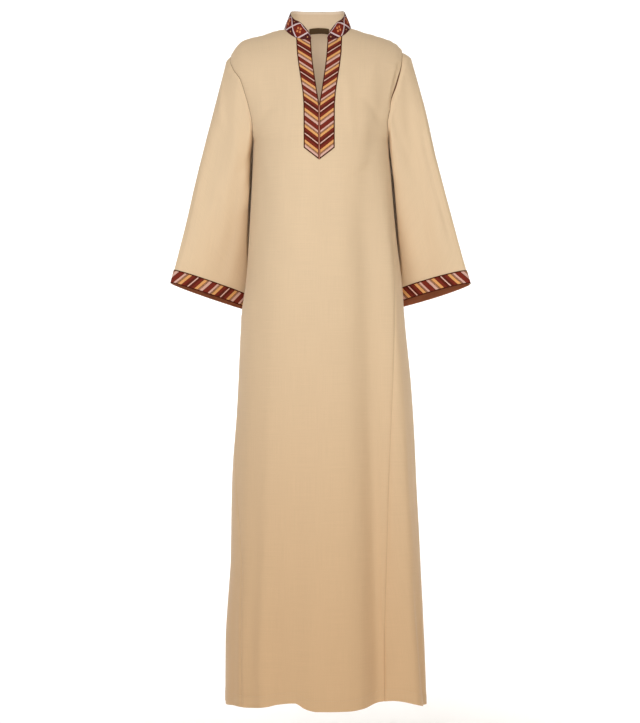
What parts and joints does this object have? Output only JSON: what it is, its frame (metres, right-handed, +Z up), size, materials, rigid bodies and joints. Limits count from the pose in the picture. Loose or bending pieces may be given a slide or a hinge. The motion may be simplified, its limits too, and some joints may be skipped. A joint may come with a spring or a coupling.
{
  "type": "kaftan",
  "caption": "Long straight kaftan with a stand collar, a V opening edged with woven ribbon and wide sleeves with ribbon cuffs.",
  "frame": {"origin": "point between the wearer's shoulders at neck height, where the garment is held", "axes": "+Z up; +X to the right of a viewer who faces the front; -Y out of the front"},
  "size_m": [0.6443, 0.3064, 1.4854],
  "materials": {
    "cloth": "matte plain weave, sand coloured",
    "collar_ribbon": "woven ribbon, dark maroon lattice",
    "ribbon": "woven ribbon, maroon with orange and pale pink diagonal stripes",
    "facing": "matte brown cotton",
    "label": "matte dark woven tape, bare"
  },
  "bodies": {
    "root": {"front_panel": "cloth", "back_panel": "cloth", "sleeve_left": "cloth", "sleeve_right": "cloth", "collar_band": "cloth", "collar_ribbon": "collar_ribbon", "placket_ribbon_left": "ribbon", "placket_ribbon_right": "ribbon", "cuff_ribbon_left": "ribbon", "cuff_ribbon_right": "ribbon", "cuff_facing_left": "facing", "cuff_facing_right": "facing", "neck_label": "label"}
  },
  "joints": []
}
